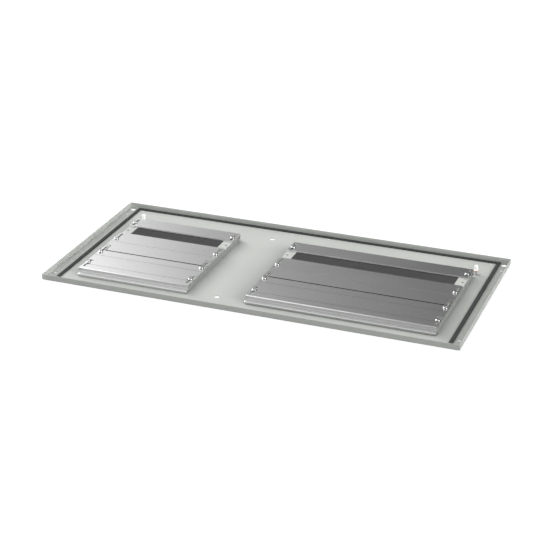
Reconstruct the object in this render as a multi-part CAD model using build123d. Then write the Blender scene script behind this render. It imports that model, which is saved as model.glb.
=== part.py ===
from build123d import *
import os

# All sizes in millimetres.
# The origin is the middle of the tray in plan, on its underside.
# X runs along the tray, Y from front to back, Z up.

# Base tray
TRAY_LENGTH = 1200.0
TRAY_DEPTH = 567.0
RIM_HEIGHT = 17.0
SHEET = 1.5
BEND_RADIUS = 3.0

# Tray holes, with insets from the tray's outer faces
CORNER_HOLE_RADIUS = 8.0
CORNER_HOLE_END_INSET = 15.0
CORNER_HOLE_SIDE_INSET = 17.5
END_HOLE_RADIUS = 3.75
END_HOLE_END_INSET = 14.0
END_HOLE_FRONT_INSET = 52.5
END_HOLE_REAR_INSET = 55.5
EDGE_HOLE_RADIUS = 3.5
EDGE_HOLE_SIDE_INSET = 19.0
EDGE_HOLE_END_INSET = 52.0
EDGE_HOLE_FROM_MIDDLE = 57.0
MIDDLE_HOLE_RADIUS = 7.5
MIDDLE_HOLE_FRONT_INSET = 69.5
MIDDLE_HOLE_REAR_INSET = 77.5

# Rim gasket, with insets from the tray's outer faces to its middle line
GASKET_WIDTH = 10.0
GASKET_HEIGHT = 3.0
LEFT_GASKET_END_INSET = 35.0
RIGHT_GASKET_END_INSET = 32.4
GASKET_SIDE_INSET = 9.8
GASKET_CORNER_RADIUS = 3.0
GASKET_INNER_RADIUS = 1.0
GASKET_EDGE = 0.4

# Cable entries
LEFT_ENTRY_LENGTH = 336.6
LEFT_ENTRY_END_INSET = 79.7
RIGHT_ENTRY_LENGTH = 537.8
RIGHT_ENTRY_END_INSET = 77.7

# Rails and cut-outs
RAIL_SHEET = 2.0
RAIL_TOP = 18.8
RAIL_BEND_RADIUS = 2.5
RAIL_FLANGE = 29.3
RAIL_FRONT_Y = -211.4
RAIL_REAR_Y = 137.0
RAIL_HOLE_RADIUS = 3.4
LEDGE = 13.5
CUTOUT_FRONT_Y = -196.0
CUTOUT_REAR_Y = 150.0
CUTOUT_CORNER_RADIUS = 6.0

# Slide plates
PLATE_THICKNESS = 3.5
PLATE_END_INSET = 0.6
SCREW_INSET = 10.0
SLOT_RADIUS = 3.5
NOTCH_WIDTH = 18.0
EAR_WIDTH = 15.8
EAR_CORNER_RADIUS = 3.0
GROOVE_WIDTH = 1.2
GROOVE_DEPTH = 0.5

REAR_PLATE_FRONT_Y = 107.0
REAR_PLATE_REAR_Y = 164.7
REAR_WEB = 3.7
REAR_WEB_BOTTOM = 5.0
REAR_SLOT = (109.0, 155.0)
REAR_CORNER_RADIUS = 8.0
LUG_RADIUS = 9.0
LUG_FRONT_Y = 101.0

MIDDLE_PLATE_FRONT_Y = -82.2
MIDDLE_PLATE_REAR_Y = 49.5
MIDDLE_NOTCH_REAR_Y = -46.5
MIDDLE_SLOT = (-5.0, 43.0)
MIDDLE_GROOVE_Y = -16.7
MIDDLE_CORNER_RADIUS = 10.0

FRONT_PLATE_FRONT_Y = -216.5
FRONT_PLATE_REAR_Y = -85.8
FRONT_EAR_REAR_Y = -50.0
FRONT_SLOTS = ((-204.0, -155.0), (-105.0, -57.0))
FRONT_GROOVE_YS = (-120.7, -186.7)
FRONT_WEB = 3.0
FRONT_WEB_SETBACK = 1.9
FOOT_TOP = 8.2
FOOT_FRONT_Y = -229.0
FOOT_WALL = 2.6
FOOT_CORNER_RADIUS = 6.0
FOOT_EDGE_RADIUS = 1.2
POCKET_WIDTH = 18.0
POCKET_DEPTH = 1.2
POCKET_FRONT_Y = -188.4
POCKET_REAR_Y = -157.0
POCKET_CORNER_RADIUS = 2.0

# Screws, washers and weld nuts, thread size M6
SCREW_YS = (-177.0, -101.0, 0.0, 127.0)
SPARE_NUT_Y = 79.5
THREAD_RADIUS = 3.0
THREAD_CLEARANCE = 0.3
SCREW_LENGTH = 12.0
HEAD_RADIUS = 6.0
HEAD_HEIGHT = 3.1
HEAD_CROWN = 1.3
HEAD_TOP_RADIUS = 4.8
SOCKET_RADIUS = 2.5
SOCKET_DEPTH = 1.8
WASHER_RADIUS = 6.75
WASHER_THICKNESS = 1.0
NUT_ACROSS_FLATS = 10.0
NUT_HEIGHT = 4.8

# Sides of the prisms that stand for small round fasteners
OUTER_SIDES = 16
BORE_SIDES = 8

# Foam blocks
FOAM_FRONT_Y = 30.0
FOAM_MIDDLE_Y = 79.0
FOAM_REAR_Y = 128.0
FOAM_TOP = 18.3
FOAM_SHOULDER_TOP = 10.5
FOAM_SIDE_CLEARANCE = 0.5

# Earth studs, thread size M6
LEFT_STUD_END_INSET = 93.0
RIGHT_STUD_END_INSET = 75.5
STUD_BEHIND_REAR_PLATE = 15.8
STUD_RADIUS = 3.0
STUD_CLEARANCE = 0.3
STUD_TOP = 25.0
STUD_BASE_RADIUS = 5.5
STUD_BASE_HEIGHT = 2.4
STUD_NUT_ACROSS_FLATS = 10.0
STUD_NUT_HEIGHT = 5.2
CONTACT_WASHER_RADIUS = 6.3
CONTACT_WASHER_THICKNESS = 4.9
CAP_RADIUS = 5.8
CAP_TOP = 28.7
CAP_CROWN = 1.5
CAP_TOP_RADIUS = 4.4

# Sizes that follow from the ones above
FLOOR_TOP = SHEET
PLATE_TOP = RAIL_TOP + PLATE_THICKNESS
NUT_TOP = RAIL_TOP - RAIL_SHEET
TRAY_END = TRAY_LENGTH / 2
TRAY_SIDE = TRAY_DEPTH / 2
STUD_Y = REAR_PLATE_REAR_Y + STUD_BEHIND_REAR_PLATE
STUD_NUT_BOTTOM = FLOOR_TOP + STUD_BASE_HEIGHT
CONTACT_WASHER_BOTTOM = STUD_NUT_BOTTOM + STUD_NUT_HEIGHT
CAP_BOTTOM = CONTACT_WASHER_BOTTOM + CONTACT_WASHER_THICKNESS
LEFT_ENTRY_X = -TRAY_END + LEFT_ENTRY_END_INSET + LEFT_ENTRY_LENGTH / 2
RIGHT_ENTRY_X = TRAY_END - RIGHT_ENTRY_END_INSET - RIGHT_ENTRY_LENGTH / 2
LEFT_ENTRY_INNER_X = LEFT_ENTRY_X + LEFT_ENTRY_LENGTH / 2
RIGHT_ENTRY_INNER_X = RIGHT_ENTRY_X - RIGHT_ENTRY_LENGTH / 2
MIDDLE_HOLE_X = (LEFT_ENTRY_INNER_X + RIGHT_ENTRY_INNER_X) / 2
ENTRIES = (
    ("left", LEFT_ENTRY_X, LEFT_ENTRY_LENGTH),
    ("right", RIGHT_ENTRY_X, RIGHT_ENTRY_LENGTH),
)


def block(x0, x1, y0, y1, z0, z1):
    """Box between two corners."""
    box = Box(x1 - x0, y1 - y0, z1 - z0)
    return Pos((x0 + x1) / 2, (y0 + y1) / 2, (z0 + z1) / 2) * box


def disc(x, y, z0, z1, radius):
    """Upright cylinder between two heights."""
    return Pos(x, y, (z0 + z1) / 2) * Cylinder(radius, z1 - z0)


def prism(x, y, z0, z1, radius, sides):
    """Upright prism with this many sides, corners on a circle."""
    return Pos(x, y, z0) * extrude(RegularPolygon(radius, sides), z1 - z0)


def crown(x, y, z0, z1, low_radius, high_radius):
    """Prism that narrows from one height to the other."""
    low = Pos(x, y, z0) * RegularPolygon(low_radius, OUTER_SIDES)
    high = Pos(x, y, z1) * RegularPolygon(high_radius, OUTER_SIDES)
    return loft([low, high], ruled=True)


def rounded_block(x0, x1, y0, y1, z0, z1, radius):
    """Box with four rounded upright edges."""
    sketch = RectangleRounded(x1 - x0, y1 - y0, radius)
    return Pos((x0 + x1) / 2, (y0 + y1) / 2, z0) * extrude(sketch, z1 - z0)


def slot_cutter(x, y0, y1, z0, z1):
    """Rounded slot along Y, from end to end."""
    return rounded_block(x - SLOT_RADIUS, x + SLOT_RADIUS, y0, y1, z0, z1, SLOT_RADIUS - 0.01)


def upright_edges(shape, x=None, y=None):
    """Upright edges of a shape at a given X or Y."""
    edges = shape.edges().filter_by(Axis.Z)
    if x is not None:
        edges = edges.filter_by(lambda edge: abs(edge.center().X - x) < 0.01)
    if y is not None:
        edges = edges.filter_by(lambda edge: abs(edge.center().Y - y) < 0.01)
    return edges


# Positions

def plate_ends(centre, length):
    """X of the left and right ends of an entry's plates."""
    half = length / 2 - PLATE_END_INSET
    return centre - half, centre + half


def screw_columns(centre, length):
    """X of the two columns of screws of an entry."""
    left, right = plate_ends(centre, length)
    return left + SCREW_INSET, right - SCREW_INSET


def screw_seat(y):
    """Height of the face under a washer at this Y."""
    if POCKET_FRONT_Y < y < POCKET_REAR_Y:
        return PLATE_TOP - POCKET_DEPTH
    return PLATE_TOP


# Base tray and gasket

def tray_holes():
    """Centre and radius of each round hole in the floor."""
    holes = []
    corner_y = TRAY_SIDE - CORNER_HOLE_SIDE_INSET
    edge_y = TRAY_SIDE - EDGE_HOLE_SIDE_INSET
    for side in (-1, 1):
        corner_x = side * (TRAY_END - CORNER_HOLE_END_INSET)
        end_x = side * (TRAY_END - END_HOLE_END_INSET)
        holes.append((end_x, -TRAY_SIDE + END_HOLE_FRONT_INSET, END_HOLE_RADIUS))
        holes.append((end_x, TRAY_SIDE - END_HOLE_REAR_INSET, END_HOLE_RADIUS))
        for y_side in (-1, 1):
            holes.append((corner_x, y_side * corner_y, CORNER_HOLE_RADIUS))
            for x in (TRAY_END - EDGE_HOLE_END_INSET, EDGE_HOLE_FROM_MIDDLE):
                holes.append((side * x, y_side * edge_y, EDGE_HOLE_RADIUS))
    holes.append((MIDDLE_HOLE_X, -TRAY_SIDE + MIDDLE_HOLE_FRONT_INSET, MIDDLE_HOLE_RADIUS))
    holes.append((MIDDLE_HOLE_X, TRAY_SIDE - MIDDLE_HOLE_REAR_INSET, MIDDLE_HOLE_RADIUS))
    return holes


def bent_block(inset, z0, z1, bend_radius):
    """Block inset from the tray's outer faces, with rounded edges round its bottom face."""
    body = block(-TRAY_END + inset, TRAY_END - inset, -TRAY_SIDE + inset, TRAY_SIDE - inset, z0, z1)
    return fillet(body.faces().sort_by(Axis.Z)[0].edges(), bend_radius)


def make_base_tray():
    """Folded sheet with a rim on four sides, two cut-outs and round holes."""
    outer = bent_block(0, 0, RIM_HEIGHT, BEND_RADIUS)
    inner = bent_block(SHEET, SHEET, RIM_HEIGHT + SHEET, BEND_RADIUS - SHEET)
    tray = outer - inner
    for _, centre, length in ENTRIES:
        half = length / 2 - RAIL_SHEET - LEDGE
        tray -= rounded_block(
            centre - half, centre + half, CUTOUT_FRONT_Y, CUTOUT_REAR_Y,
            -SHEET, 2 * SHEET, CUTOUT_CORNER_RADIUS)
    for x, y, radius in tray_holes():
        tray -= disc(x, y, -SHEET, 2 * SHEET, radius)
    return tray


def make_rim_gasket():
    """Closed run of flat foam tape with softened top edges."""
    half = GASKET_WIDTH / 2
    top = FLOOR_TOP + GASKET_HEIGHT
    left_x = -TRAY_END + LEFT_GASKET_END_INSET
    right_x = TRAY_END - RIGHT_GASKET_END_INSET
    mid_y = TRAY_SIDE - GASKET_SIDE_INSET
    ring = rounded_block(
        left_x - half, right_x + half, -mid_y - half, mid_y + half,
        FLOOR_TOP, top, GASKET_CORNER_RADIUS)
    ring -= rounded_block(
        left_x + half, right_x - half, -mid_y + half, mid_y - half,
        FLOOR_TOP - 1, top + 1, GASKET_INNER_RADIUS)
    return chamfer(ring.faces().sort_by(Axis.Z)[-1].edges(), GASKET_EDGE)


# Rails and nuts

def make_rail(centre, length, side):
    """Wall on the floor with a flange turned towards the middle of the entry."""
    outer_x = centre + side * length / 2
    flange_x = outer_x - side * RAIL_FLANGE
    inner_x = outer_x - side * RAIL_SHEET
    x_low = min(outer_x, flange_x)
    x_high = max(outer_x, flange_x)
    rail = block(x_low, x_high, RAIL_FRONT_Y, RAIL_REAR_Y, FLOOR_TOP, RAIL_TOP)
    bend = rail.edges().filter_by(Axis.Y).filter_by(
        lambda edge: abs(edge.center().X - outer_x) < 0.01 and edge.center().Z > RAIL_TOP - 0.01)
    rail = fillet(bend, RAIL_BEND_RADIUS)
    hollow = block(
        min(inner_x, flange_x - side), max(inner_x, flange_x - side),
        RAIL_FRONT_Y - 1, RAIL_REAR_Y + 1, FLOOR_TOP - 1, RAIL_TOP - RAIL_SHEET)
    inner_bend = hollow.edges().filter_by(Axis.Y).filter_by(
        lambda edge: abs(edge.center().X - inner_x) < 0.01 and edge.center().Z > FLOOR_TOP)
    hollow = fillet(inner_bend, RAIL_BEND_RADIUS - RAIL_SHEET)
    rail -= hollow
    column = screw_columns(centre, length)[0 if side < 0 else 1]
    for y in SCREW_YS + (SPARE_NUT_Y,):
        rail -= prism(column, y, NUT_TOP - 1, RAIL_TOP + 1, RAIL_HOLE_RADIUS, BORE_SIDES)
    return rail


def make_weld_nuts(centre, length):
    """Hexagon nuts under the flanges, one below each hole."""
    nuts = []
    bottom = NUT_TOP - NUT_HEIGHT
    profile = RegularPolygon(NUT_ACROSS_FLATS / 2, 6, major_radius=False)
    for column in screw_columns(centre, length):
        for y in SCREW_YS + (SPARE_NUT_Y,):
            nut = Pos(column, y, bottom) * extrude(profile, NUT_HEIGHT)
            nut -= prism(
                column, y, bottom - 1, NUT_TOP + 1, THREAD_RADIUS + THREAD_CLEARANCE, BORE_SIDES)
            nuts.append(nut)
    return Compound(children=nuts)


# Slide plates

def lug(x, inner_side):
    """Rounded tongue round the front end of a slot of the rear plate."""
    centre_y = LUG_FRONT_Y + LUG_RADIUS
    tongue = disc(x, centre_y, RAIL_TOP, PLATE_TOP, LUG_RADIUS)
    x_end = x - inner_side * SCREW_INSET
    tongue += block(
        min(x, x_end), max(x, x_end), centre_y, REAR_PLATE_FRONT_Y + 2 * REAR_CORNER_RADIUS,
        RAIL_TOP, PLATE_TOP)
    return tongue


def make_rear_plate(centre, length):
    """Flat plate with a web down at the back and a lug at each front corner."""
    left, right = plate_ends(centre, length)
    plate = block(left, right, REAR_PLATE_FRONT_Y, REAR_PLATE_REAR_Y, RAIL_TOP, PLATE_TOP)
    plate = fillet(upright_edges(plate, y=REAR_PLATE_FRONT_Y), REAR_CORNER_RADIUS)
    plate += block(
        left, right, REAR_PLATE_REAR_Y - REAR_WEB, REAR_PLATE_REAR_Y, REAR_WEB_BOTTOM, PLATE_TOP)
    columns = screw_columns(centre, length)
    for x, inner_side in zip(columns, (1, -1)):
        plate += lug(x, inner_side)
    plate -= block(left - 20, left, LUG_FRONT_Y - 1, REAR_PLATE_REAR_Y + 1, 0, PLATE_TOP + 1)
    plate -= block(right, right + 20, LUG_FRONT_Y - 1, REAR_PLATE_REAR_Y + 1, 0, PLATE_TOP + 1)
    for x in columns:
        plate -= slot_cutter(x, REAR_SLOT[0], REAR_SLOT[1], RAIL_TOP - 1, PLATE_TOP + 1)
    return plate


def groove(left, right, y):
    """Shallow line across the top of a plate."""
    return block(
        left - 1, right + 1, y - GROOVE_WIDTH / 2, y + GROOVE_WIDTH / 2,
        PLATE_TOP - GROOVE_DEPTH, PLATE_TOP + 1)


def make_middle_plate(centre, length):
    """Flat plate with a notch at each front corner."""
    left, right = plate_ends(centre, length)
    plate = block(left, right, MIDDLE_PLATE_FRONT_Y, MIDDLE_PLATE_REAR_Y, RAIL_TOP, PLATE_TOP)
    plate = fillet(upright_edges(plate, y=MIDDLE_PLATE_REAR_Y), MIDDLE_CORNER_RADIUS)
    for x0, x1 in ((left - 1, left + NOTCH_WIDTH), (right - NOTCH_WIDTH, right + 1)):
        plate -= block(
            x0, x1, MIDDLE_PLATE_FRONT_Y - 1, MIDDLE_NOTCH_REAR_Y, RAIL_TOP - 1, PLATE_TOP + 1)
    plate -= groove(left, right, MIDDLE_GROOVE_Y)
    for x in screw_columns(centre, length):
        plate -= slot_cutter(x, MIDDLE_SLOT[0], MIDDLE_SLOT[1], RAIL_TOP - 1, PLATE_TOP + 1)
    return plate


def make_front_foot(left, right):
    """Web and rounded foot under the front edge, open below."""
    web_front = FRONT_PLATE_FRONT_Y + FRONT_WEB_SETBACK
    web_rear = web_front + FRONT_WEB
    foot = block(left, right, web_front, web_rear, FLOOR_TOP, RAIL_TOP + 1)
    shell = block(left, right, FOOT_FRONT_Y, web_rear, FLOOR_TOP, FOOT_TOP)
    shell = fillet(upright_edges(shell, y=FOOT_FRONT_Y), FOOT_CORNER_RADIUS)
    front_edge = shell.faces().sort_by(Axis.Z)[-1].edges().sort_by(Axis.Y)[0]
    shell = fillet(front_edge, FOOT_EDGE_RADIUS)
    hollow = block(
        left + FOOT_CORNER_RADIUS, right - FOOT_CORNER_RADIUS,
        FOOT_FRONT_Y + FOOT_WALL, web_front, FLOOR_TOP - 1, FOOT_TOP - FOOT_WALL)
    return foot + shell - hollow


def corner_pocket(x_end, inner_side):
    """Shallow pocket at one end of the front plate."""
    inner_x = x_end + inner_side * POCKET_WIDTH
    outer_x = x_end - inner_side * 2 * POCKET_CORNER_RADIUS
    return rounded_block(
        min(inner_x, outer_x), max(inner_x, outer_x), POCKET_FRONT_Y, POCKET_REAR_Y,
        PLATE_TOP - POCKET_DEPTH, PLATE_TOP + 1, POCKET_CORNER_RADIUS)


def make_front_plate(centre, length):
    """Plate with two ears at the back, and a nose, web and foot at the front."""
    left, right = plate_ends(centre, length)
    plate = block(left, right, FRONT_PLATE_FRONT_Y, FRONT_PLATE_REAR_Y, RAIL_TOP, PLATE_TOP)
    nose = plate.edges().filter_by(Axis.X).filter_by(
        lambda edge: edge.center().Y < FRONT_PLATE_FRONT_Y + 0.01)
    plate = fillet(nose, PLATE_THICKNESS / 2 - 0.05)
    for x0, x1 in ((left, left + EAR_WIDTH), (right - EAR_WIDTH, right)):
        ear = block(x0, x1, FRONT_PLATE_REAR_Y - 1, FRONT_EAR_REAR_Y, RAIL_TOP, PLATE_TOP)
        plate += fillet(upright_edges(ear, y=FRONT_EAR_REAR_Y), EAR_CORNER_RADIUS)
    plate += make_front_foot(left, right)
    for y in FRONT_GROOVE_YS:
        plate -= groove(left, right, y)
    for x_end, inner_side in ((left, 1), (right, -1)):
        plate -= corner_pocket(x_end, inner_side)
    for x in screw_columns(centre, length):
        for y0, y1 in FRONT_SLOTS:
            plate -= slot_cutter(x, y0, y1, RAIL_TOP - 1, PLATE_TOP + 1)
    return plate


# Screws and washers

def make_screw(x, y):
    """Pan head screw with a hexagon socket."""
    seat = screw_seat(y) + WASHER_THICKNESS
    top = seat + HEAD_HEIGHT
    edge = top - HEAD_CROWN
    screw = prism(x, y, seat - SCREW_LENGTH, seat, THREAD_RADIUS, BORE_SIDES)
    screw += prism(x, y, seat, edge, HEAD_RADIUS, OUTER_SIDES)
    screw += crown(x, y, edge, top, HEAD_RADIUS, HEAD_TOP_RADIUS)
    return screw - prism(x, y, top - SOCKET_DEPTH, top + 1, SOCKET_RADIUS, 6)


def make_washer(x, y):
    """Flat washer on a plate."""
    seat = screw_seat(y)
    washer = prism(x, y, seat, seat + WASHER_THICKNESS, WASHER_RADIUS, OUTER_SIDES)
    hole = THREAD_RADIUS + THREAD_CLEARANCE
    return washer - prism(x, y, seat - 1, seat + WASHER_THICKNESS + 1, hole, BORE_SIDES)


def make_fastener_group(centre, length, make_one):
    """One fastener at each screw position of an entry."""
    pieces = []
    for x in screw_columns(centre, length):
        for y in SCREW_YS:
            pieces.append(make_one(x, y))
    return Compound(children=pieces)


# Foam

def make_foam(centre, length, y0, y1):
    """Foam block with a low shoulder under each flange."""
    shoulder = length / 2 - RAIL_SHEET - FOAM_SIDE_CLEARANCE
    waist = length / 2 - RAIL_FLANGE - FOAM_SIDE_CLEARANCE
    foam = block(centre - waist, centre + waist, y0, y1, FLOOR_TOP, FOAM_TOP)
    foam += block(centre - shoulder, centre + shoulder, y0, y1, FLOOR_TOP, FOAM_SHOULDER_TOP)
    return foam


# Earth studs

def on_both_studs(make_one):
    """The same piece on the left and the right stud."""
    left_x = -TRAY_END + LEFT_STUD_END_INSET
    right_x = TRAY_END - RIGHT_STUD_END_INSET
    return Compound(children=[make_one(left_x, STUD_Y), make_one(right_x, STUD_Y)])


def make_stud(x, y):
    """Threaded stud with a flat weld base on the floor."""
    stud = prism(x, y, FLOOR_TOP, STUD_TOP, STUD_RADIUS, BORE_SIDES)
    return stud + prism(x, y, FLOOR_TOP, STUD_NUT_BOTTOM, STUD_BASE_RADIUS, OUTER_SIDES)


def make_stud_nut(x, y):
    """Hexagon nut on the stud's base."""
    profile = RegularPolygon(STUD_NUT_ACROSS_FLATS / 2, 6, major_radius=False)
    nut = Pos(x, y, STUD_NUT_BOTTOM) * extrude(profile, STUD_NUT_HEIGHT)
    bore = STUD_RADIUS + STUD_CLEARANCE
    return nut - prism(x, y, FLOOR_TOP, CAP_BOTTOM, bore, BORE_SIDES)


def make_contact_washer(x, y):
    """Thick copper washer on the nut."""
    washer = prism(x, y, CONTACT_WASHER_BOTTOM, CAP_BOTTOM, CONTACT_WASHER_RADIUS, OUTER_SIDES)
    bore = STUD_RADIUS + STUD_CLEARANCE
    return washer - prism(x, y, STUD_NUT_BOTTOM, CAP_TOP, bore, BORE_SIDES)


def make_stud_cap(x, y):
    """Protective cap over the free thread of a stud."""
    edge = CAP_TOP - CAP_CROWN
    cap = prism(x, y, CAP_BOTTOM, edge, CAP_RADIUS, OUTER_SIDES)
    cap += crown(x, y, edge, CAP_TOP, CAP_RADIUS, CAP_TOP_RADIUS)
    bore = STUD_RADIUS + STUD_CLEARANCE
    return cap - prism(x, y, STUD_NUT_BOTTOM, STUD_TOP + STUD_CLEARANCE, bore, BORE_SIDES)


# Assembly

def make_entry(name, centre, length):
    """All pieces of one cable entry."""
    pieces = {}
    for side_name, side in (("left", -1), ("right", 1)):
        pieces[f"{name}_entry_{side_name}_rail"] = make_rail(centre, length, side)
    pieces[f"{name}_entry_rear_plate"] = make_rear_plate(centre, length)
    pieces[f"{name}_entry_middle_plate"] = make_middle_plate(centre, length)
    pieces[f"{name}_entry_front_plate"] = make_front_plate(centre, length)
    pieces[f"{name}_entry_rear_foam"] = make_foam(centre, length, FOAM_MIDDLE_Y, FOAM_REAR_Y)
    pieces[f"{name}_entry_front_foam"] = make_foam(centre, length, FOAM_FRONT_Y, FOAM_MIDDLE_Y)
    pieces[f"{name}_entry_screws"] = make_fastener_group(centre, length, make_screw)
    pieces[f"{name}_entry_washers"] = make_fastener_group(centre, length, make_washer)
    pieces[f"{name}_entry_weld_nuts"] = make_weld_nuts(centre, length)
    return pieces


def make_all():
    """Every node by name."""
    nodes = {
        "base_tray": make_base_tray(),
        "rim_gasket": make_rim_gasket(),
    }
    for name, centre, length in ENTRIES:
        nodes.update(make_entry(name, centre, length))
    nodes["earth_studs"] = on_both_studs(make_stud)
    nodes["earth_contact_washers"] = on_both_studs(make_contact_washer)
    nodes["earth_nuts"] = on_both_studs(make_stud_nut)
    nodes["earth_stud_caps"] = on_both_studs(make_stud_cap)
    return nodes


os.makedirs("parts", exist_ok=True)
for node_name, shape in make_all().items():
    export_step(shape, f"parts/{node_name}.step")
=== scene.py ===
"""Dresses the cable entry plate: tape, foam, fasteners, caps, finishes, studio and camera."""

import logging
import math
from dataclasses import dataclass
from enum import Enum
from typing import Sequence, Union

import bmesh
import bpy
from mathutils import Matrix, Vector, noise


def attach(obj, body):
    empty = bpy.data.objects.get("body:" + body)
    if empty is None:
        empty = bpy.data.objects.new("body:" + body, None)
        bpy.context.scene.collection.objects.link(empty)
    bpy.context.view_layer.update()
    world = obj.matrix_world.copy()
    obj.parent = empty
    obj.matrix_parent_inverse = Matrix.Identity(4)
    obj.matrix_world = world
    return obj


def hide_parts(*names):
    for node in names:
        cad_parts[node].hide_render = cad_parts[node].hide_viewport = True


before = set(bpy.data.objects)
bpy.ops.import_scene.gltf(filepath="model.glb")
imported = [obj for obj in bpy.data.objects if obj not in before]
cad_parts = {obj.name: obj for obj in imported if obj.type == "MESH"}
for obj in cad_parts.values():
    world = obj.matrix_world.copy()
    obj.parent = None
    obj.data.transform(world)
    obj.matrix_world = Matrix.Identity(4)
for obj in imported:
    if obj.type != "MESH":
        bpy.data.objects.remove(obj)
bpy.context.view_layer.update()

MM = 0.001
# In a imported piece, points closer than this are joined, and so are faces at a smaller angle.
SAME_POINT = 0.001 * MM
SAME_FACE = 0.5
log = logging.getLogger("cable_entry_plate")

Colour = tuple[float, float, float]
Point = tuple[float, float, float]


class Side(Enum):
    """The two sides of the plate, with their sign along X."""

    LEFT = -1
    RIGHT = 1


class Axis(Enum):
    """The three parts of a direction or a place."""

    X = 0
    Y = 1
    Z = 2


# Shader building


@dataclass(frozen=True)
class Signal:
    """A value that varies over a surface, with the usual arithmetic."""

    graph: "Graph"
    socket: bpy.types.NodeSocket

    def _maths(self, operation: str, first: "Value", second: "Value") -> "Signal":
        """One Math node.

        Args:
            operation: the node's operation.
            first: the left operand.
            second: the right operand.

        Returns:
            The node's result.
        """
        return self.graph.add("ShaderNodeMath", {"operation": operation}, {0: first, 1: second})

    def __add__(self, other: "Value") -> "Signal":
        """self + other."""
        return self._maths("ADD", self, other)

    def __radd__(self, other: "Value") -> "Signal":
        """other + self."""
        return self._maths("ADD", other, self)

    def __sub__(self, other: "Value") -> "Signal":
        """self - other."""
        return self._maths("SUBTRACT", self, other)

    def __rsub__(self, other: "Value") -> "Signal":
        """other - self."""
        return self._maths("SUBTRACT", other, self)

    def __mul__(self, other: "Value") -> "Signal":
        """self * other."""
        return self._maths("MULTIPLY", self, other)

    def __rmul__(self, other: "Value") -> "Signal":
        """other * self."""
        return self._maths("MULTIPLY", other, self)

    def __abs__(self) -> "Signal":
        """The size of self."""
        return self.graph.add("ShaderNodeMath", {"operation": "ABSOLUTE"}, {0: self})

    def part(self, axis: Axis) -> "Signal":
        """One part of a direction or a place."""
        return self.graph.add("ShaderNodeSeparateXYZ", None, {0: self}, output=axis.value)


Value = Union[Signal, float, Sequence[float]]


class Graph:
    """A node tree that is filled by calls instead of by hand."""

    def __init__(self, owner: Union[bpy.types.Material, bpy.types.World]) -> None:
        """Empties the owner's node tree.

        Args:
            owner: the material or world that gets the nodes.
        """
        owner.use_nodes = True
        self.tree = owner.node_tree
        self.tree.nodes.clear()

    def add(
        self,
        kind: str,
        settings: dict[str, object] | None = None,
        inputs: dict[Union[int, str], Value] | None = None,
        output: Union[int, str] = 0,
    ) -> Signal:
        """One node of any type.

        Args:
            kind: the node's type name.
            settings: its properties, set before its sockets.
            inputs: a value or a link for each socket, by place or by name.
            output: which output to hand back.

        Returns:
            The chosen output.
        """
        node = self.tree.nodes.new(kind)
        for name, setting in (settings or {}).items():
            setattr(node, name, setting)
        for name, value in (inputs or {}).items():
            if isinstance(value, Signal):
                self.tree.links.new(value.socket, node.inputs[name])
            else:
                node.inputs[name].default_value = value
        return Signal(self, node.outputs[output] if node.outputs else None)

    def place(self, scale: Point = (1.0, 1.0, 1.0)) -> Signal:
        """The point on the object in metres, stretched along each axis.

        It moves with the piece, so a finish stays in place when a plate slides.

        Args:
            scale: factor along each axis.

        Returns:
            The stretched point.
        """
        point = self.add("ShaderNodeTexCoord", output="Object")
        return self.add("ShaderNodeMapping", inputs={"Vector": point, "Scale": scale})

    def outward(self) -> Signal:
        """The direction that a spot of the surface faces."""
        return self.add("ShaderNodeNewGeometry", output="Normal")

    def cells(self, scale: float) -> Signal:
        """Distance to the middle of the nearest cell, for foam.

        Args:
            scale: how many cells fit in a metre.

        Returns:
            The distance.
        """
        return self.add("ShaderNodeTexVoronoi", inputs={"Vector": self.place(), "Scale": scale})

    def openness(self, reach: float, toward: Point | None = None) -> Signal:
        """How open a spot lies, from 0 in the tightest corner to 1 in the open.

        Args:
            reach: how far away a neighbour still counts, in metres.
            toward: the side that is looked to, where it isn't straight out.

        Returns:
            The open share.
        """
        inputs: dict[Union[int, str], Value] = {"Distance": reach}
        if toward:
            x, y, z = toward
            inputs["Normal"] = self.add("ShaderNodeCombineXYZ", None, {0: x, 1: y, 2: z})
        return self.add("ShaderNodeAmbientOcclusion", {"samples": 16}, inputs, output="AO")

    def dim(self, colour: Value, share: Signal) -> Signal:
        """A colour with only a share of its strength.

        Args:
            colour: the colour.
            share: what is left of it.

        Returns:
            The darker colour.
        """
        return self.add("ShaderNodeVectorMath", {"operation": "SCALE"}, {0: colour, "Scale": share})

    def tint(self, low: Colour, high: Colour, amount: Signal) -> Signal:
        """A colour between two.

        Args:
            low: the colour at 0.
            high: the colour at 1.
            amount: how far towards the second colour.

        Returns:
            The colour.
        """
        inputs = {0: amount, 6: (*low, 1.0), 7: (*high, 1.0)}
        return self.add("ShaderNodeMix", {"data_type": "RGBA"}, inputs, output=2)

    def bump(self, height: Signal, depth: float) -> Signal:
        """A normal that follows small heights.

        Args:
            height: the height between 0 and 1.
            depth: the height of 1, in metres.

        Returns:
            The normal.
        """
        return self.add("ShaderNodeBump", inputs={"Height": height, "Distance": depth})

    def surface(self, **inputs: Value) -> None:
        """Ends a material in a Principled shader.

        Args:
            inputs: values and links for its sockets, with underscores for spaces.
        """
        sockets = {name.replace("_", " "): value for name, value in inputs.items()}
        shader = self.add("ShaderNodeBsdfPrincipled", None, sockets)
        self.add("ShaderNodeOutputMaterial", None, {"Surface": shader})


@dataclass(frozen=True)
class Fade:
    """A smooth step: where it begins and ends, and the levels before and after it."""

    low: float
    high: float
    start: float = 0.0
    end: float = 1.0

    def of(self, value: Signal) -> Signal:
        """The level that a value gives.

        Args:
            value: what decides the step.

        Returns:
            The level.
        """
        return value.graph.add(
            "ShaderNodeMapRange",
            {"interpolation_type": "SMOOTHSTEP"},
            {
                "Value": value, "From Min": self.low, "From Max": self.high,
                "To Min": self.start, "To Max": self.end,
            },
        )


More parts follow.
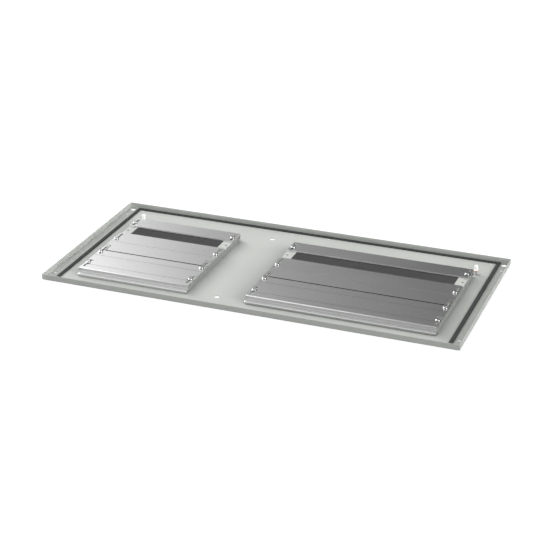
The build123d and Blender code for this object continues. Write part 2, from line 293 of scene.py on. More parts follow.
@dataclass(frozen=True)
class Grain:
    """Soft noise: features in a metre, finer layers, and the stretch along each axis."""

    scale: float
    detail: float = 2.0
    stretch: Point = (1.0, 1.0, 1.0)

    def on(self, graph: Graph) -> Signal:
        """The noise on a surface.

        Args:
            graph: the surface's graph.

        Returns:
            The noise, between 0 and 1.
        """
        place = graph.place(self.stretch)
        inputs = {"Vector": place, "Scale": self.scale, "Detail": self.detail}
        return graph.add("ShaderNodeTexNoise", inputs=inputs)


def shade(colour: Colour, factor: float) -> Colour:
    """A colour made darker or lighter.

    Args:
        colour: the colour.
        factor: what each channel is multiplied by.

    Returns:
        The new colour.
    """
    return tuple(min(1.0, channel * factor) for channel in colour)


def screen(red: int, green: int, blue: int) -> Colour:
    """A colour read off a screen, as the shaders want it.

    Args:
        red: 0 to 255.
        green: 0 to 255.
        blue: 0 to 255.

    Returns:
        The linear colour.
    """

    def linear(level: int) -> float:
        """One channel without its screen curve."""
        part = level / 255
        return part / 12.92 if part <= 0.04045 else ((part + 0.055) / 1.055) ** 2.4

    return linear(red), linear(green), linear(blue)


# Finishes


@dataclass(frozen=True)
class PowderCoat:
    """Light grey powder coat with a fine orange peel.

    Walls facing along X take a painted tone of their own: painted light on the tray, painted
    shade on the rails. Level paint gets painted shade where a wall stands to its right, as beside
    the plates; the paint along the tray's left and rear rim gets painted light, and the level
    paint past the tape at the right end painted shade.
    """

    name: str = "light_grey_powder_coat"
    colour: Colour = screen(206, 209, 204)
    # Walls facing along X get this painted tone: painted light on the tray, painted shade on the
    # rails.
    painted_wall_tone: Colour = screen(209, 212, 207)
    wall: Fade = Fade(0.15, 0.6)
    level: Fade = Fade(0.5, 0.95)
    drift: Grain = Grain(6.0)
    cloud: Fade = Fade(0.3, 0.7, 0.965, 1.0)
    specks: Grain = Grain(2400.0, 0.0)
    gloss: Fade = Fade(0.3, 0.7, 0.45, 0.55)
    peel: Grain = Grain(1 / (1.6 * MM), 1.0)
    peel_depth: float = 0.02 * MM
    # Painted shade on level paint where a wall stands to its right: the side looked to, reach, open
    # level and depth.
    rightward: Point = (0.707, 0.0, 0.707)
    right_reach: float = 100.0 * MM
    right_open: float = 0.854
    right_depth: float = 0.62
    # Painted light on the tray's left rim, painted shade on the level paint past the tape at the
    # right end, painted light on the rear rim.
    left_rim_light: Fade = Fade(-592.0 * MM, -585.0 * MM, 1.08, 1.0)
    right_rim_shade: Fade = Fade(566.0 * MM, 574.0 * MM, 0.0, 0.1)
    rear_rim_light: Fade = Fade(274.0 * MM, 280.0 * MM, 1.0, 1.1)

    def material(self) -> bpy.types.Material:
        """Builds the finish.

        Returns:
            The material.
        """
        material = bpy.data.materials.new(self.name)
        graph = Graph(material)
        outward = graph.outward()
        spot = graph.place()
        wall = self.wall.of(abs(outward.part(Axis.X)))
        level = self.level.of(abs(outward.part(Axis.Z)))
        # The walls facing along X take the painted wall tone, by the way they face.
        base = graph.tint(self.colour, self.painted_wall_tone, wall)
        # Painted shade on level paint where a wall stands to its right.
        closed = self.right_open - graph.openness(self.right_reach, self.rightward)
        # Painted light and shade along the rims.
        left_rim_light = self.left_rim_light.of(spot.part(Axis.X))
        right_rim_shade = 1.0 - level * self.right_rim_shade.of(spot.part(Axis.X))
        rim_light_and_shade = left_rim_light * right_rim_shade * self.rear_rim_light.of(spot.part(Axis.Y))
        shaded = 1.0 - level * closed * self.right_depth
        graph.surface(
            Base_Color=graph.dim(base, self.cloud.of(self.drift.on(graph)) * rim_light_and_shade * shaded),
            Roughness=self.gloss.of(self.specks.on(graph)),
            Normal=graph.bump(self.peel.on(graph), self.peel_depth),
        )
        return material


@dataclass(frozen=True)
class FoamSkin:
    """Dark foam with open cells, painted shade in the pores and painted light on the cell walls."""

    name: str = "black_cell_foam"
    colour: Colour = screen(74, 74, 75)
    # Painted shade in the pores and painted light on the cell walls, as factors on the colour.
    pore_shade: float = 0.72
    ridge_light: float = 1.12
    cell_size: float = 1.1 * MM
    cell_depth: float = 0.3 * MM
    pore: Fade = Fade(0.15, 0.75)
    fibres_in_cell: float = 3.2
    fibre_share: float = 0.35
    shine: float = 0.25
    gloss: Fade = Fade(0.3, 0.7, 0.86, 0.98)

    def material(self) -> bpy.types.Material:
        """Builds the finish.

        Returns:
            The material.
        """
        material = bpy.data.materials.new(self.name)
        graph = Graph(material)
        pore = self.pore.of(graph.cells(1 / self.cell_size))
        fibres = Grain(self.fibres_in_cell / self.cell_size, 3.0).on(graph)
        # Painted shade in the pores and painted light on the raised cell walls, following the bump.
        pore_shade = shade(self.colour, self.pore_shade)
        graph.surface(
            Base_Color=graph.tint(pore_shade, shade(self.colour, self.ridge_light), pore),
            Roughness=self.gloss.of(fibres),
            Normal=graph.bump(pore + self.fibre_share * fibres, self.cell_depth),
            Specular_IOR_Level=self.shine,
        )
        return material


@dataclass(frozen=True)
class ExtrudedAluminium:
    """Mill finish aluminium with faint lines along the extrusion.

    Hollows and the gap between the front and middle plates get painted shade. The web gets
    painted shade under the front plate, the lip above it a painted highlight, and the foot a
    painted highlight on top and painted shade below. The rear plate's front edge is sawn and
    matt, with painted shade that grows towards the right.
    """

    name: str = "extruded_aluminium"
    colour: Colour = (0.86, 0.86, 0.86)
    streak_tone: float = 0.98
    roughness: float = 0.3
    streaks: Grain = Grain(60.0, 4.0, (0.03, 14.0, 14.0))
    streak_band: Fade = Fade(0.35, 0.65)
    streak_gloss: float = 0.03
    smears: Grain = Grain(18.0, 3.0, (0.35, 1.0, 1.0))
    smear_gloss: float = 0.04
    hairs: Grain = Grain(420.0, 2.0, (0.02, 9.0, 9.0))
    hair_depth: float = 0.004 * MM
    specks: Grain = Grain(300.0)
    speckle: Fade = Fade(0.3, 0.7, 0.92, 1.0)
    # Painted shade in hollows: how far a neighbour counts, and how dark it gets.
    hollow_reach: float = 2.0 * MM
    hollow_shade: Fade = Fade(0.45, 0.85, 0.35, 1.0)
    # Painted shade in the gap between the front and middle plates: where it lies and how dark.
    joint_y: float = -82.2 * MM
    joint_shade: Fade = Fade(0.9 * MM, 1.35 * MM, 0.05, 1.0)
    # Painted shade on the foot's front, deeper towards the right, and a painted highlight on its
    # top.
    foot_shade: Fade = Fade(-160.0 * MM, 60.0 * MM, 0.88, 0.66)
    foot_highlight: float = 1.15
    foot_top: Fade = Fade(7.4 * MM, 8.2 * MM)
    foot_end: Fade = Fade(8.3 * MM, 9.0 * MM)
    # Painted shade on the web under the front plate.
    web_bottom: Fade = Fade(7.5 * MM, 14.5 * MM)
    web_top: Fade = Fade(18.4 * MM, 18.8 * MM)
    web_shade: float = 0.2
    front: Fade = Fade(-0.9, -0.5, 1.0, 0.0)
    # Painted highlight on the lip, the front plate's front edge face: where and how strong.
    lip_y: Fade = Fade(-215.0 * MM, -214.0 * MM, 1.0, 0.0)
    lip_highlight: float = 0.16
    # The rear plate's sawn front edge, with painted shade that grows towards the right.
    sawn_y: Fade = Fade(99.0 * MM, 100.0 * MM)
    sawn_shade: Fade = Fade(80.0 * MM, 280.0 * MM, 0.0, 0.25)

    def material(self) -> bpy.types.Material:
        """Builds the finish.

        Returns:
            The material.
        """
        material = bpy.data.materials.new(self.name)
        graph = Graph(material)
        spot = graph.place()
        height = spot.part(Axis.Z)
        front = self.front.of(graph.outward().part(Axis.Y))
        sawn = self.sawn_y.of(spot.part(Axis.Y)) * front
        streaks = self.streaks.on(graph)
        streak_tone = shade(self.colour, self.streak_tone)
        toned = graph.tint(streak_tone, self.colour, self.streak_band.of(streaks))
        # Painted shade in hollows, left off the sawn edge.
        hollow_shade = self.hollow_shade.of(graph.openness(self.hollow_reach))
        hollow_shade = hollow_shade + (1.0 - hollow_shade) * sawn
        # Painted shade along the gap between the front and middle plates.
        joint_shade = self.joint_shade.of(abs(spot.part(Axis.Y) - self.joint_y))
        speckle = self.speckle.of(self.specks.on(graph))
        tone = hollow_shade * joint_shade * speckle * self.foot(spot) * self.web(height)
        # Painted highlight on the lip above the web.
        lip = self.lip_y.of(spot.part(Axis.Y)) * front * self.web_top.of(height)
        # Painted shade on the sawn edge, growing towards the right.
        sawn_shade = sawn * self.sawn_shade.of(spot.part(Axis.X))
        smears = self.smears.on(graph)
        gloss = self.streak_gloss * (streaks - 0.5) + self.smear_gloss * (smears - 0.5)
        graph.surface(
            Base_Color=graph.dim(toned, tone * (1.0 + self.lip_highlight * lip) * (1.0 - sawn_shade)),
            Metallic=1.0 - sawn,
            Roughness=self.roughness + gloss,
            Normal=graph.bump(self.hairs.on(graph), self.hair_depth),
        )
        return material

    def foot(self, spot: Signal) -> Signal:
        """How the foot's tone changes: painted shade below, deeper towards the right, a painted
        highlight on top, and plain above it.

        Args:
            spot: the place on the piece.

        Returns:
            The factor on the colour.
        """
        height = spot.part(Axis.Z)
        # Painted shade on the foot's front, deeper towards the right.
        dull = self.foot_shade.of(spot.part(Axis.X))
        foot = dull + (self.foot_highlight - dull) * self.foot_top.of(height)
        return foot + (1.0 - foot) * self.foot_end.of(height)

    def web(self, height: Signal) -> Signal:
        """How the web gets painted shade between the foot and the plate.

        Args:
            height: the height above the tray's underside.

        Returns:
            The factor on the colour.
        """
        return 1.0 - self.web_bottom.of(height) * (1.0 - self.web_top.of(height)) * self.web_shade


@dataclass(frozen=True)
class BrightSteel:
    """Bright zinc plating with soft blotches, and painted shade where pieces stand close."""

    name: str = "bright_zinc"
    colour: Colour = (0.84, 0.84, 0.85)
    blotch_tone: float = 0.9
    blotches: Grain = Grain(260.0, 3.0)
    blotch_band: Fade = Fade(0.35, 0.65)
    gloss: Fade = Fade(0.2, 0.8, 0.26, 0.2)
    # Painted shade where pieces stand close.
    hollow_reach: float = 4.0 * MM
    hollow_shade: Fade = Fade(0.35, 0.8, 0.05, 1.0)
    pits: Grain = Grain(900.0)
    pit_depth: float = 0.01 * MM

    def material(self) -> bpy.types.Material:
        """Builds the finish.

        Returns:
            The material.
        """
        material = bpy.data.materials.new(self.name)
        graph = Graph(material)
        blotches = self.blotches.on(graph)
        blotch_tone = shade(self.colour, self.blotch_tone)
        toned = graph.tint(blotch_tone, self.colour, self.blotch_band.of(blotches))
        graph.surface(
            Base_Color=graph.dim(toned, self.hollow_shade.of(graph.openness(self.hollow_reach))),
            Metallic=1.0,
            Roughness=self.gloss.of(blotches),
            Normal=graph.bump(self.pits.on(graph), self.pit_depth),
        )
        return material


@dataclass(frozen=True)
class PlainCopper:
    """Copper that has dulled a little in patches."""

    name: str = "plain_copper"
    colour: Colour = (0.90, 0.68, 0.58)
    dull: Colour = (0.74, 0.53, 0.44)
    patches: Grain = Grain(220.0, 3.0)
    patch_band: Fade = Fade(0.45, 0.7)
    gloss: Fade = Fade(0.0, 1.0, 0.4, 0.52)

    def material(self) -> bpy.types.Material:
        """Builds the finish.

        Returns:
            The material.
        """
        material = bpy.data.materials.new(self.name)
        graph = Graph(material)
        patch = self.patch_band.of(self.patches.on(graph))
        graph.surface(
            Base_Color=graph.tint(self.colour, self.dull, patch),
            Metallic=1.0,
            Roughness=self.gloss.of(patch),
        )
        return material


@dataclass(frozen=True)
class CapPlastic:
    """White soft plastic with a faint moulded texture and a painted glow."""

    name: str = "white_cap_plastic"
    colour: Colour = (0.95, 0.95, 0.95)
    texture_tone: float = 0.96
    texture: Grain = Grain(1500.0)
    texture_depth: float = 0.01 * MM
    gloss: Fade = Fade(0.3, 0.7, 0.36, 0.46)
    # Painted glow: the cap gives off light of its own.
    painted_glow: float = 0.3

    def material(self) -> bpy.types.Material:
        """Builds the finish.

        Returns:
            The material.
        """
        material = bpy.data.materials.new(self.name)
        graph = Graph(material)
        texture = self.texture.on(graph)
        graph.surface(
            Base_Color=graph.tint(shade(self.colour, self.texture_tone), self.colour, texture),
            Roughness=self.gloss.of(texture),
            Normal=graph.bump(texture, self.texture_depth),
            # Painted glow from the cap itself.
            Emission_Color=(*self.colour, 1.0),
            Emission_Strength=self.painted_glow,
        )
        return material


@dataclass(frozen=True)
class Finishes:
    """Every finish of the plate, made once."""

    tray_paint: bpy.types.Material
    rail_paint: bpy.types.Material
    tape: bpy.types.Material
    foam: bpy.types.Material
    aluminium: bpy.types.Material
    zinc: bpy.types.Material
    satin_zinc: bpy.types.Material
    copper: bpy.types.Material
    plastic: bpy.types.Material

    @classmethod
    def make(cls) -> "Finishes":
        """Builds the materials.

        Returns:
            The set.
        """
        # The rails' walls get a darker painted tone, which is painted shade; the painted shade
        # beside walls to the right is left off.
        rail_paint = PowderCoat(
            name="light_grey_rail_coat", painted_wall_tone=screen(160, 163, 159), right_depth=0.0)
        tape = FoamSkin(
            name="grey_tape_foam", colour=screen(72, 72, 72), cell_size=0.7 * MM,
            cell_depth=0.08 * MM)
        # Satin zinc with only faint painted shade where pieces stand close.
        satin_zinc = BrightSteel(
            name="satin_zinc", colour=(0.88, 0.88, 0.88), gloss=Fade(0.2, 0.8, 0.48, 0.42),
            hollow_shade=Fade(0.35, 0.8, 0.9, 1.0))
        return cls(
            tray_paint=PowderCoat().material(),
            rail_paint=rail_paint.material(),
            tape=tape.material(),
            foam=FoamSkin().material(),
            aluminium=ExtrudedAluminium().material(),
            zinc=BrightSteel().material(),
            satin_zinc=satin_zinc.material(),
            copper=PlainCopper().material(),
            plastic=CapPlastic().material(),
        )


# Mesh building


@dataclass(frozen=True)
class Ring:
    """One ring of a turned shape, with optional lobes."""

    radius: float
    height: float
    lobe: float = 0.0
    lobes: int = 6

    def point(self, turn: float) -> Point:
        """The ring's point at an angle.

        Args:
            turn: the angle in radians.

        Returns:
            Its place, in metres.
        """
        reach = self.radius * (1.0 + self.lobe * math.cos(self.lobes * turn))
        return reach * math.cos(turn), reach * math.sin(turn), self.height


def turn_rings(
    mesh: bmesh.types.BMesh,
    rings: Sequence[Ring],
    centre: Point,
    steps: int = 48,
    closed: bool = False,
) -> None:
    """Adds a turned shape to a mesh.

    Args:
        mesh: what it is added to.
        rings: its rings from first to last.
        centre: where its axis stands, in metres.
        steps: how many points a ring has.
        closed: whether the last ring joins the first, as in a washer.
    """
    rows = []
    for ring in rings:
        row = []
        for step in range(steps):
            x, y, z = ring.point(2 * math.pi * step / steps)
            row.append(mesh.verts.new((centre[0] + x, centre[1] + y, centre[2] + z)))
        rows.append(row)
    pairs = list(zip(rows, rows[1:]))
    if closed:
        pairs.append((rows[-1], rows[0]))
    for low, high in pairs:
        for step in range(steps):
            after = (step + 1) % steps
            mesh.faces.new((low[step], low[after], high[after], high[step]))
    if not closed:
        mesh.faces.new(rows[0][::-1])
        mesh.faces.new(rows[-1])


def finish_piece(
    mesh: bmesh.types.BMesh,
    name: str,
    material: bpy.types.Material,
    body: str,
    smooth_angle: float = 35.0,
) -> bpy.types.Object:
    """Turns a mesh into a dressed piece that rides on a body.

    Args:
        mesh: the mesh, which is freed.
        name: the piece's name.
        material: its finish.
        body: the body it moves with.
        smooth_angle: faces that meet at less than this are shaded as one, in degrees.

    Returns:
        The new object.
    """
    bmesh.ops.recalc_face_normals(mesh, faces=mesh.faces)
    data = bpy.data.meshes.new(name)
    mesh.to_mesh(data)
    mesh.free()
    piece = bpy.data.objects.new(name, data)
    bpy.context.scene.collection.objects.link(piece)
    data.materials.append(material)
    data.shade_smooth()
    data.set_sharp_from_angle(angle=math.radians(smooth_angle))
    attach(piece, body)
    return piece


def round_edges(
    piece: bpy.types.Object, width: float, segments: int, angle: float
) -> bpy.types.BevelModifier:
    """Rounds a piece's sharp edges.

    Args:
        piece: the piece.
        width: how wide the rounding is, in metres.
        segments: how many faces it has.
        angle: faces that meet at more than this have a sharp edge, in degrees.

    Returns:
        The modifier that does it.
    """
    bevel = piece.modifiers.new("rounded_edges", "BEVEL")
    bevel.width = width
    bevel.segments = segments
    bevel.limit_method = "ANGLE"
    bevel.angle_limit = math.radians(angle)
    return bevel


def dress_node(name: str, material: bpy.types.Material, edge: float = 0.0) -> bpy.types.Object:
    """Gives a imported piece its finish, and breaks its sharp edges.

    Args:
        name: the node.
        material: its finish.
        edge: width of the broken edges, in metres; 0 leaves them.

    Returns:
        The piece.
    """
    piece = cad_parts[name]
    if not piece.material_slots:
        piece.data.materials.append(material)
    for material_slot in piece.material_slots:
        material_slot.material = material
    if edge:
        weld = piece.modifiers.new("joined_points", "WELD")
        weld.merge_threshold = SAME_POINT
        flat = piece.modifiers.new("joined_faces", "DECIMATE")
        flat.decimate_type = "DISSOLVE"
        flat.angle_limit = math.radians(SAME_FACE)
        round_edges(piece, edge, segments=2, angle=40).harden_normals = True
    return piece


# Tray


@dataclass
class TrayAssembly:
    """The painted tray and the foam tape on its floor."""

    finishes: Finishes
    length: float = 1200.0 * MM
    depth: float = 567.0 * MM
    floor_top: float = 1.5 * MM
    tray_edge: float = 0.35 * MM
    tape_width: float = 10.0 * MM
    tape_height: float = 3.0 * MM
    tape_edge: float = 0.4 * MM
    tape_left_inset: float = 35.0 * MM
    tape_right_inset: float = 32.4 * MM
    tape_side_inset: float = 9.8 * MM
    tape_step: float = 8.0 * MM
    tape_sag: float = 0.06
    tape_waves: float = 31.0

    def dress(self) -> list[bpy.types.Object]:
        """Paints the tray and lays the tape.

        Returns:
            The pieces.
        """
        tray = dress_node("base_tray", self.finishes.tray_paint, self.tray_edge)
        tape = self.build_tape()
        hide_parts("rim_gasket")
        return [tray, tape]

    def tape_path(self) -> list[tuple[Vector, Vector]]:
        """The tape's middle line, with mitred corners.

        Returns:
            Points, and how far half the width reaches outward there, all the way round.
        """
        left = -self.length / 2 + self.tape_left_inset
        right = self.length / 2 - self.tape_right_inset
        reach = self.depth / 2 - self.tape_side_inset
        half = self.tape_width / 2
        corners = [(right, reach), (left, reach), (left, -reach), (right, -reach)]
        path = []
        for index, (x, y) in enumerate(corners):
            corner = Vector((x, y, 0))
            follow = Vector((*corners[(index + 1) % 4], 0))
            outward = Vector((math.copysign(half, x), math.copysign(half, y), 0))
            path.append((corner, outward))
            along = (follow - corner).normalized()
            straight = Vector((along.y, -along.x, 0)) * half
            if straight.dot(corner + follow) < 0:
                straight = -straight
            steps = round((follow - corner).length / self.tape_step)
            path += [(corner.lerp(follow, step / steps), straight) for step in range(1, steps)]
        return path

    def build_tape(self) -> bpy.types.Object:
        """The flat run of foam tape, a little uneven as cut foam is.

        Returns:
            The piece.
        """
        edge = self.tape_edge
        inner = 1.0 - edge / (self.tape_width / 2)
        profile = [(-1.0, 0.0), (-1.0, 1.0 - edge / self.tape_height), (-inner, 1.0), (0.0, 1.0)]
        profile += [(-across, height) for across, height in reversed(profile[:3])]
        mesh = bmesh.new()
        rows = []
        for point, outward in self.tape_path():
            lift = 1.0 - self.tape_sag * abs(noise.noise(point * self.tape_waves))
            row = []
            for across, height in profile:
                rise = Vector((0, 0, self.floor_top + height * lift * self.tape_height))
                row.append(mesh.verts.new(point + outward * across + rise))
            rows.append(row)
        for row, after in zip(rows, rows[1:] + rows[:1]):
            for part in range(len(profile) - 1):
                mesh.faces.new((row[part], after[part], after[part + 1], row[part + 1]))
            mesh.faces.new((row[0], row[-1], after[-1], after[0]))
        return finish_piece(mesh, "foam_tape", self.finishes.tape, "base")


# Entries


@dataclass
class CableEntry:
    """One entry: rails, slide plates, foam and fasteners."""

    finishes: Finishes
    side: Side
    centre: float
    length: float
    plate_top: float = 22.3 * MM
    plate_end_inset: float = 0.6 * MM
    plate_edges: tuple[tuple[str, float], ...] = (
        ("rear", 0.5 * MM), ("middle", 0.12 * MM), ("front", 0.12 * MM))
    pocket_depth: float = 1.2 * MM
    pocket_screw: int = 0
    flange: float = 29.3 * MM
    rail_sheet: float = 2.0 * MM
    rail_edge: float = 0.3 * MM
    nut_edge: float = 0.3 * MM
    screw_inset: float = 10.0 * MM
    screw_ys: tuple[float, ...] = (-177.0 * MM, -101.0 * MM, 0.0, 127.0 * MM)
    washer_play: float = 0.02 * MM
    washer_radius: float = 6.75 * MM
    washer_hole: float = 3.3 * MM
    washer_thickness: float = 1.0 * MM
    washer_edge: float = 0.18 * MM
    head_radius: float = 6.0 * MM
    head_height: float = 3.1 * MM
    head_edge: float = 0.25 * MM
    dome_bottom: float = 1.1 * MM
    dome_inset: float = 1.9 * MM
    dome_rings: int = 8
    # The six lobe socket from its lip down, with heights from the top of the head.
    socket: tuple[Ring, ...] = (
        Ring(2.9 * MM, 0.0, 0.05),
        Ring(2.35 * MM, -0.1 * MM, 0.13),
        Ring(2.2 * MM, -0.3 * MM, 0.14),
        Ring(2.134 * MM, -1.9 * MM, 0.14),
        Ring(0.99 * MM, -2.2 * MM),
    )
    shank_radius: float = 3.0 * MM
    shank_length: float = 12.0 * MM
    tip_inset: float = 0.3 * MM
    tip_length: float = 0.4 * MM
    foam_gap: float = 0.5 * MM
    foam_ys: tuple[float, float, float] = (30.0 * MM, 79.0 * MM, 128.0 * MM)
    foam_bottom: float = 1.5 * MM
    foam_shoulder: float = 10.5 * MM
    foam_top: float = 18.3 * MM
    foam_edge: float = 0.9 * MM
    foam_sag: float = 0.25 * MM
    foam_waves: float = 40.0
    foam_columns: int = 60
    foam_rows: int = 10

    @property
    def name(self) -> str:
        """The entry's side in small letters, as the nodes have it."""
        return self.side.name.lower()

    def dress(self) -> list[bpy.types.Object]:
        """Dresses every piece of the entry.

        Returns:
            The pieces.
        """
        finishes = self.finishes
        pieces = []
        for side in Side:
            rail = f"{self.name}_entry_{side.name.lower()}_rail"
            pieces.append(dress_node(rail, finishes.rail_paint, self.rail_edge))
        for part, edge in self.plate_edges:
            plate = f"{self.name}_entry_{part}_plate"
            pieces.append(dress_node(plate, finishes.aluminium, edge))
        nuts = dress_node(f"{self.name}_entry_weld_nuts", finishes.zinc, self.nut_edge)
        washers = self.build_washers()
        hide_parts(f"{self.name}_entry_washers")
        screws = self.build_screws()
        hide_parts(f"{self.name}_entry_screws")
        pieces += [nuts, washers, screws]
        for index, part in enumerate(("front", "rear")):
            block = self.build_foam(part, self.foam_ys[index], self.foam_ys[index + 1])
            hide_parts(f"{self.name}_entry_{part}_foam")
            pieces.append(block)
        return pieces

    def seats(self) -> list[Point]:
        """Where each washer lies.

        Returns:
            The middle of each seat, in metres.
        """
        reach = self.length / 2 - self.plate_end_inset - self.screw_inset
        seats = []
        for side in Side:
            for index, y in enumerate(self.screw_ys):
                sink = self.pocket_depth if index == self.pocket_screw else 0.0
                top = self.plate_top - sink + self.washer_play
                seats.append((self.centre + side.value * reach, y, top))
        return seats

    def build_washers(self) -> bpy.types.Object:
        """Flat washers with slightly broken edges.

        Returns:
            The piece.
        """
        mesh = bmesh.new()
        top = self.washer_thickness
        edge = self.washer_edge
        outer = self.washer_radius
        hole = self.washer_hole
        rings = [
            Ring(hole, 0.0),
            Ring(outer - edge, 0.0),
            Ring(outer, edge),
            Ring(outer, top - edge),
            Ring(outer - edge, top),
            Ring(hole, top),
        ]
        for seat in self.seats():
            turn_rings(mesh, rings, seat, closed=True)
        return finish_piece(mesh, f"{self.name}_washers", self.finishes.zinc, "base")

    def screw_rings(self) -> list[Ring]:
        """One screw's outline, from its tip up over the dome and down into the socket.

        Returns:
            The rings.
        """
        shank = self.shank_radius
        radius = self.head_radius
        height = self.head_height
        rings = [
            Ring(shank - self.tip_inset, -self.shank_length),
            Ring(shank, self.tip_length - self.shank_length),
            Ring(shank, 0.0),
            Ring(radius - self.head_edge, 0.0),
            Ring(radius, self.head_edge),
        ]
        for part in range(1, self.dome_rings + 1):
            turn = math.radians(90 * part / (self.dome_rings + 1))
            reach = radius - self.dome_inset * (1 - math.cos(turn))
            rise = (height - self.dome_bottom) * math.sin(turn)
            rings.append(Ring(reach, self.dome_bottom + rise))
        return rings + [Ring(ring.radius, height + ring.height, ring.lobe) for ring in self.socket]

    def build_screws(self) -> bpy.types.Object:
        """Screws with domed heads, one on each washer.

        Returns:
            The piece.
        """
        mesh = bmesh.new()
        for x, y, z in self.seats():
            turn_rings(mesh, self.screw_rings(), (x, y, z + self.washer_thickness))
        name = f"{self.name}_screws"
        zinc = self.finishes.zinc
        return finish_piece(mesh, name, zinc, "base", smooth_angle=30.0)

    def foam_outline(self) -> list[tuple[float, float]]:
        """The foam's outline seen from the front, from its middle outward and up.

        Returns:
            The points, as distance from the entry's middle and height.
        """
        waist = self.length / 2 - self.flange - self.foam_gap
        shoulder = self.length / 2 - self.rail_sheet - self.foam_gap
        steps = self.foam_columns
        outline = [(-shoulder, self.foam_bottom), (shoulder, self.foam_bottom)]
        outline += [(shoulder, self.foam_shoulder), (waist, self.foam_shoulder)]
        outline += [(waist - 2 * waist * step / steps, self.foam_top) for step in range(steps + 1)]
        outline += [(-waist, self.foam_shoulder), (-shoulder, self.foam_shoulder)]
        return outline

    def build_foam(self, part: str, front: float, rear: float) -> bpy.types.Object:
        """A foam block with a shoulder under each flange.

        Args:
            part: front or rear, for the name.
            front: its front face, in metres.
            rear: its rear face, in metres.

        Returns:
            The block.
        """
        outline = self.foam_outline()
        mesh = bmesh.new()
        rows = []
        for row_index in range(self.foam_rows + 1):
            y = front + (rear - front) * row_index / self.foam_rows
            row = []
            for x, z in outline:
                place = Vector((self.centre + x, y, z))
                if z > self.foam_shoulder:
                    place.z -= self.foam_sag * abs(noise.noise(place * self.foam_waves))
                row.append(mesh.verts.new(place))
            rows.append(row)
        count = len(outline)
        for row, after in zip(rows, rows[1:]):
            for index in range(count):
                follow = (index + 1) % count
                mesh.faces.new((row[index], row[follow], after[follow], after[index]))
        mesh.faces.new(rows[0])
        mesh.faces.new(rows[-1][::-1])
        name = f"{self.name}_{part}_foam_block"
        foam = self.finishes.foam
        piece = finish_piece(mesh, name, foam, "base", smooth_angle=40.0)
        round_edges(piece, self.foam_edge, segments=3, angle=50)
        return piece


# Earth points


@dataclass
class EarthPoints:
    """The two capped studs behind the entries."""

    finishes: Finishes
    xs: tuple[float, float] = (-507.0 * MM, 524.5 * MM)
    y: float = 180.5 * MM
    nut_edge: float = 0.4 * MM
    washer_bottom: float = 9.1 * MM
    washer: tuple[Ring, ...] = (
        Ring(3.3 * MM, 0.0),
        Ring(5.0 * MM, 0.0),
        Ring(5.8 * MM, 0.3 * MM),
        Ring(6.3 * MM, 1.1 * MM),
        Ring(6.3 * MM, 4.4 * MM),
        Ring(5.9 * MM, 4.9 * MM),
        Ring(3.3 * MM, 4.9 * MM),
    )
    cap_bottom: float = 14.0 * MM
    cap_collar: tuple[Ring, ...] = (
        Ring(5.5 * MM, 0.0),
        Ring(5.8 * MM, 0.3 * MM),
        Ring(5.8 * MM, 1.8 * MM),
        Ring(5.55 * MM, 2.1 * MM),
    )
    cap_radius: float = 5.5 * MM
    cap_height: float = 14.7 * MM
    cap_shoulder: float = 1.6 * MM
    cap_rings: int = 6

    def dress(self) -> list[bpy.types.Object]:
        """Dresses studs, nuts, washers and caps.

        Returns:
            The pieces.
        """
        studs = dress_node("earth_studs", self.finishes.zinc)
        nuts = dress_node("earth_nuts", self.finishes.satin_zinc, self.nut_edge)
        washers = self.build_washers()
        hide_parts("earth_contact_washers")
        caps = self.build_caps()
        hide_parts("earth_stud_caps")
        return [studs, nuts, washers, caps]

    def build_washers(self) -> bpy.types.Object:
        """Thick copper washers with rounded rims.

        Returns:
            The piece.
        """
        mesh = bmesh.new()
        for x in self.xs:
            turn_rings(mesh, self.washer, (x, self.y, self.washer_bottom), closed=True)
        return finish_piece(mesh, "contact_washers", self.finishes.copper, "base")

    def build_caps(self) -> bpy.types.Object:
        """Soft caps with a collar at the foot and a rounded top.

        Returns:
            The piece.
        """
        mesh = bmesh.new()
        shoulder = self.cap_shoulder
        rings = list(self.cap_collar)
        for part in range(self.cap_rings + 1):
            turn = math.radians(90 * part / self.cap_rings)
            reach = self.cap_radius - shoulder * (1 - math.cos(turn))
            rings.append(Ring(reach, self.cap_height - shoulder * (1 - math.sin(turn))))
        for x in self.xs:
            turn_rings(mesh, rings, (x, self.y, self.cap_bottom))
        return finish_piece(mesh, "stud_caps", self.finishes.plastic, "base")


# Studio


@dataclass(frozen=True)
class Softbox:
    """A soft patch of light in the sky, with its angles in degrees."""

    azimuth: float
    elevation: float
    level: float
    core: float
    edge: float

    def centre(self) -> Point:
        """The direction of its middle; azimuth 0 is behind the plate and 90 is right of it.

        Returns:
            The direction, one long.
        """
        around = math.radians(self.azimuth)
        up = math.radians(self.elevation)
        return math.sin(around) * math.cos(up), math.cos(around) * math.cos(up), math.sin(up)

    def glow(self, graph: Graph, way: Signal) -> Signal:
        """Its light in one direction.

        Args:
            graph: the world's graph.
            way: the direction.

        Returns:
            The level.
        """
        sockets = {0: way, 1: self.centre()}
        nearness = graph.add(
            "ShaderNodeVectorMath", {"operation": "DOT_PRODUCT"}, sockets, output=1)
        edge = math.cos(math.radians(self.edge))
        core = math.cos(math.radians(self.core))
        return Fade(edge, core, 0.0, self.level).of(nearness)


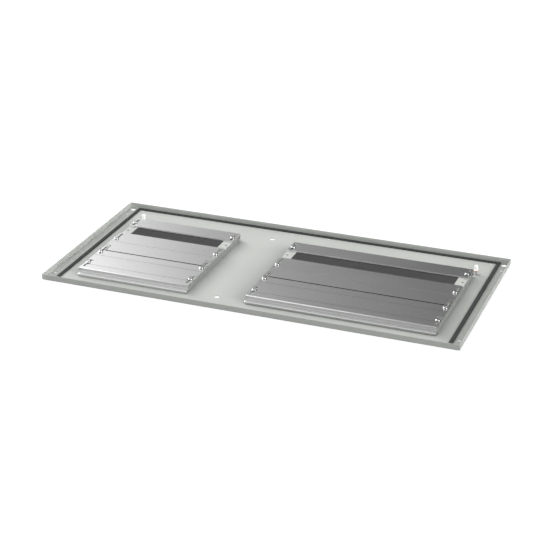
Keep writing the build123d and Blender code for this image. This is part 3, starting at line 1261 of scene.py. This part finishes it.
@dataclass
class Studio:
    """Pale floor, a ring of soft lights round the plate, and a broad low glow in front."""

    floor_size: float = 80.0
    floor_drop: float = 0.3 * MM
    floor_glow: float = 0.84
    floor_share: float = 0.3
    floor_grey: float = 0.34
    base_level: float = 0.02
    front_glow: Fade = Fade(-0.45, 0.05, 0.21, 0.0)
    lights: tuple[Softbox, ...] = (
        Softbox(60, 8, 0.36, 10, 32),
        Softbox(210, 8, 0.52, 10, 32),
        Softbox(300, 8, 2.56, 10, 32),
        Softbox(235, 33, 0.64, 10, 36),
        Softbox(210, 58, 0.16, 12, 34),
        Softbox(300, 58, 1.30, 12, 34),
        Softbox(0, 90, 0.64, 10, 36),
        Softbox(-26, 26, 0.18, 4, 14),
        Softbox(-38, 26, 1.58, 4, 14),
        Softbox(-62, 24, 6.23, 6, 22),
        Softbox(-25, 45, 0.16, 6, 22),
        Softbox(100, 20, 6.90, 6, 22),
    )

    def build(self) -> None:
        """Builds the floor and the sky."""
        self.build_floor()
        self.build_sky()

    def floor_paint(self) -> bpy.types.Material:
        """Paint that looks white, takes the shadow, and lights the plate only as grey.

        Returns:
            The material.
        """
        material = bpy.data.materials.new("pale_floor")
        graph = Graph(material)
        white = {"Color": (1.0, 1.0, 1.0, 1.0), "Strength": self.floor_glow}
        glow = graph.add("ShaderNodeEmission", None, white)
        share = {"Color": (*[self.floor_share] * 3, 1.0)}
        lit = graph.add("ShaderNodeBsdfDiffuse", None, share)
        shown = graph.add("ShaderNodeAddShader", None, {0: glow, 1: lit})
        grey = {"Color": (*[self.floor_grey] * 3, 1.0)}
        plain = graph.add("ShaderNodeBsdfDiffuse", None, grey)
        camera, glossy, glass = (
            graph.add("ShaderNodeLightPath", output=name)
            for name in ("Is Camera Ray", "Is Glossy Ray", "Is Transmission Ray")
        )
        seen = graph.add("ShaderNodeClamp", None, {"Value": camera + glossy + glass})
        mixed = graph.add("ShaderNodeMixShader", None, {0: seen, 1: plain, 2: shown})
        graph.add("ShaderNodeOutputMaterial", None, {"Surface": mixed})
        return material

    def build_floor(self) -> None:
        """A wide floor just under the plate."""
        mesh = bpy.data.meshes.new("studio_floor")
        half = self.floor_size / 2
        corners = [(-half, -half), (half, -half), (half, half), (-half, half)]
        mesh.from_pydata([(x, y, -self.floor_drop) for x, y in corners], [], [(0, 1, 2, 3)])
        mesh.materials.append(self.floor_paint())
        floor = bpy.data.objects.new("studio_floor", mesh)
        bpy.context.scene.collection.objects.link(floor)

    def build_sky(self) -> None:
        """Light that depends only on the direction it comes from."""
        world = bpy.data.worlds.new("studio_sky")
        bpy.context.scene.world = world
        graph = Graph(world)
        way = graph.add("ShaderNodeTexCoord", output="Generated")
        level = self.base_level + self.front_glow.of(way.part(Axis.Y))
        for light in self.lights:
            level = level + light.glow(graph, way)
        white = {"Color": (1.0, 1.0, 1.0, 1.0), "Strength": level}
        sky = graph.add("ShaderNodeBackground", None, white)
        graph.add("ShaderNodeOutputWorld", None, {"Surface": sky})


@dataclass
class PhotoCamera:
    """The camera that took the photograph."""

    place: Point = (1.3926, -3.6507, 1.8089)
    heading: float = 20.92
    dip: float = 25.07
    lens: float = 98.67
    sensor: float = 36.0
    nearest: float = 0.01
    farthest: float = 200.0

    def build(self) -> None:
        """Adds the camera and makes it the scene's."""
        data = bpy.data.cameras.new("photo_camera")
        data.lens = self.lens
        data.sensor_width = self.sensor
        data.clip_start = self.nearest
        data.clip_end = self.farthest
        camera = bpy.data.objects.new("photo_camera", data)
        camera.location = self.place
        camera.rotation_euler = (math.radians(90 - self.dip), 0.0, math.radians(self.heading))
        bpy.context.scene.collection.objects.link(camera)
        bpy.context.scene.camera = camera


def main() -> None:
    """Builds and dresses every piece in order."""
    logging.basicConfig(level=logging.INFO, format="%(name)s: %(message)s")
    bpy.context.scene.view_settings.view_transform = "Standard"
    finishes = Finishes.make()
    assemblies = (
        TrayAssembly(finishes),
        CableEntry(finishes, Side.LEFT, centre=-352.0 * MM, length=336.6 * MM),
        CableEntry(finishes, Side.RIGHT, centre=253.4 * MM, length=537.8 * MM),
        EarthPoints(finishes),
    )
    for assembly in assemblies:
        for piece in assembly.dress():
            log.info("%s dressed", piece.name)
    Studio().build()
    PhotoCamera().build()
    log.info("studio and camera ready")


if __name__ == "__main__":
    main()
